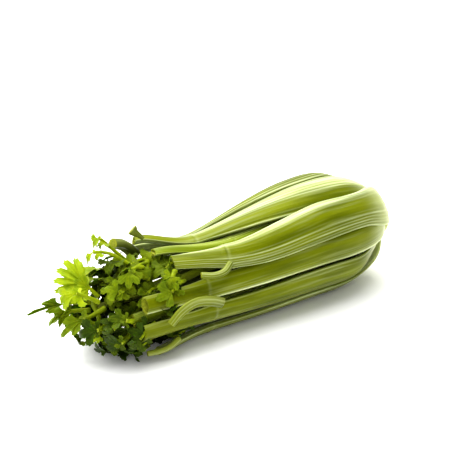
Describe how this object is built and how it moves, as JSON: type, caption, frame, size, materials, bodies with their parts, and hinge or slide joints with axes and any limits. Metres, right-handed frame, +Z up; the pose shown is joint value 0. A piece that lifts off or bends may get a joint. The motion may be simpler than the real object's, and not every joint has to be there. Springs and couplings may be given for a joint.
{
  "type": "head of celery",
  "caption": "Head of celery lying on its side: ribbed stalks wrapped round a heart, butt trimmed flat, stalk tops cut short among curled leaves.",
  "frame": {"origin": "centre of the head's bounding box in plan, on the surface that it lies on", "axes": "+X along the head towards the trimmed butt, -X towards the leaves, +Z up"},
  "size_m": [0.3576, 0.1004, 0.1029],
  "materials": {
    "butt": "pale cream cut stem with a drying brown tinge",
    "outer_stalk": "waxy fresh green with pale lengthwise ribs",
    "inner_stalk": "waxy light green with fine ribs",
    "heart_stalk": "waxy yellow-green",
    "side_stem": "waxy fresh green, cut across",
    "leaf": "soft satin leaf, veined and toothed"
  },
  "bodies": {
    "root": {"butt": "butt", "stalk_top": "outer_stalk", "stalk_front_upper": "outer_stalk", "stalk_front_middle": "outer_stalk", "stalk_front_lower": "outer_stalk", "stalk_under_front": "outer_stalk", "stalk_under_middle": "outer_stalk", "stalk_under_back": "outer_stalk", "stalk_back_lower": "outer_stalk", "stalk_back_middle": "outer_stalk", "stalk_back_upper": "outer_stalk", "inner_stalk_top": "inner_stalk", "inner_stalk_front": "inner_stalk", "inner_stalk_under_front": "inner_stalk", "inner_stalk_under_back": "inner_stalk", "inner_stalk_back": "inner_stalk", "inner_stalk_back_upper": "inner_stalk", "heart_stalk_upper": "heart_stalk", "heart_stalk_front": "heart_stalk", "heart_stalk_under": "heart_stalk", "heart_stalk_back": "heart_stalk", "side_stem_front_upper": "side_stem", "side_stem_front_lower": "side_stem", "side_stem_top": "side_stem", "side_stem_upper_back": "side_stem", "side_stem_back_middle": "side_stem", "side_stem_back_lower": "side_stem", "side_stem_under_front": "side_stem", "leaf_upper_knob": "leaf", "leaf_upper_curl": "leaf", "leaf_bright_lobed": "leaf", "leaf_curly_lobes": "leaf", "leaf_far_tip": "leaf", "leaf_upper_back": "leaf", "leaf_bent_stem": "leaf", "leaf_low_stub": "leaf", "leaf_low_front": "leaf", "leaf_low_middle": "leaf", "leaf_hanging": "leaf", "leaf_fragment": "leaf", "leaf_floor_front": "leaf", "leaf_back_upper": "leaf", "leaf_back_middle": "leaf", "leaf_back_lower": "leaf", "leaf_heart_front": "leaf", "leaf_heart_top": "leaf", "leaf_heart_back": "leaf", "leaf_heart_lower": "leaf", "leaf_front_middle": "leaf", "leaf_front_lower": "leaf"}
  },
  "joints": []
}
